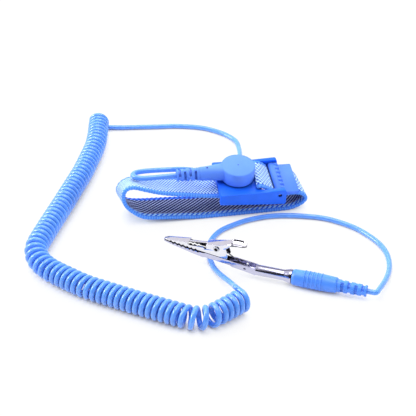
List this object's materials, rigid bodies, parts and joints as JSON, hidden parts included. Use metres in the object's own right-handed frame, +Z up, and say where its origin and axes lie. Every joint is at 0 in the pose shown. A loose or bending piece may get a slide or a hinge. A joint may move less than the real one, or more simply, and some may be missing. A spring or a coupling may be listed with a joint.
{
  "type": "esd wrist strap",
  "caption": "Elastic wristband with a clamp buckle and a detachable curly ground cord that ends in a banana plug inside an alligator clip.",
  "frame": {"origin": "on the table, under the middle of the wristband", "axes": "+X along the wristband towards the clamp lever, +Y across the webbing to the back, +Z up"},
  "size_m": [0.1751, 0.189, 0.0269],
  "materials": {
    "webbing": "knitted",
    "case_blue": "satin",
    "cord_blue": "semi gloss",
    "nickel": "polished",
    "steel": "brushed",
    "brass": "plated",
    "resistor_body": "lacquered"
  },
  "bodies": {
    "wristband": {"elastic_band": "webbing", "buckle_frame": "case_blue", "lever_pin": "steel", "snap_stud": "nickel", "contact_plate": "steel", "head_lead_run": "cord_blue", "curly_cord": "cord_blue", "clip_lead": "cord_blue", "plug_body": "cord_blue", "plug_strain_relief": "cord_blue", "banana_pin": "brass", "banana_spring": "brass"},
    "clamp": {"clamp_lever": "case_blue"},
    "socket": {"snap_socket": "nickel", "socket_spring": "steel"},
    "snap_head": {"head_shell": "case_blue", "head_base": "case_blue", "head_strain_relief": "case_blue", "safety_resistor": "resistor_body", "resistor_lead_in": "steel", "resistor_lead_out": "steel", "head_lead_loop": "cord_blue"},
    "clip": {"clip_lower_jaw": "nickel", "clip_rivet": "nickel", "clip_spring": "steel"},
    "upper_jaw": {"clip_upper_jaw": "nickel"}
  },
  "joints": [
    {"name": "clamp_lever_hinge", "type": "hinge", "parent": "wristband", "child": "clamp", "pos_m": [0.03278, -0.00019, 0.01416], "axis": [-0.0036, -0.9903, -0.1391], "range_deg": [0, 90]},
    {"name": "snap_pull_off", "type": "slide", "parent": "wristband", "child": "socket", "axis": [0.0259, -0.1392, 0.9899], "range_m": [0, 0.008], "deforming": ["head_lead_run"]},
    {"name": "snap_swivel", "type": "hinge", "parent": "socket", "child": "snap_head", "pos_m": [0.01296, -0.00056, 0.01735], "axis": [0.0259, -0.1392, 0.9899], "range_deg": [0, 60], "deforming": ["head_lead_loop"]},
    {"name": "clip_pull_off", "type": "slide", "parent": "wristband", "child": "clip", "axis": [-0.8829, 0.4695, 0], "range_m": [0, 0.018]},
    {"name": "clip_jaw_hinge", "type": "hinge", "parent": "clip", "child": "upper_jaw", "pos_m": [-0.00604, -0.05064, 0.0126], "axis": [0.5299, 0.848, 0], "range_deg": [0, 25], "stiffness_Nm_per_rad": 0.05, "springref_deg": -22.92, "deforming": ["clip_spring"]}
  ]
}
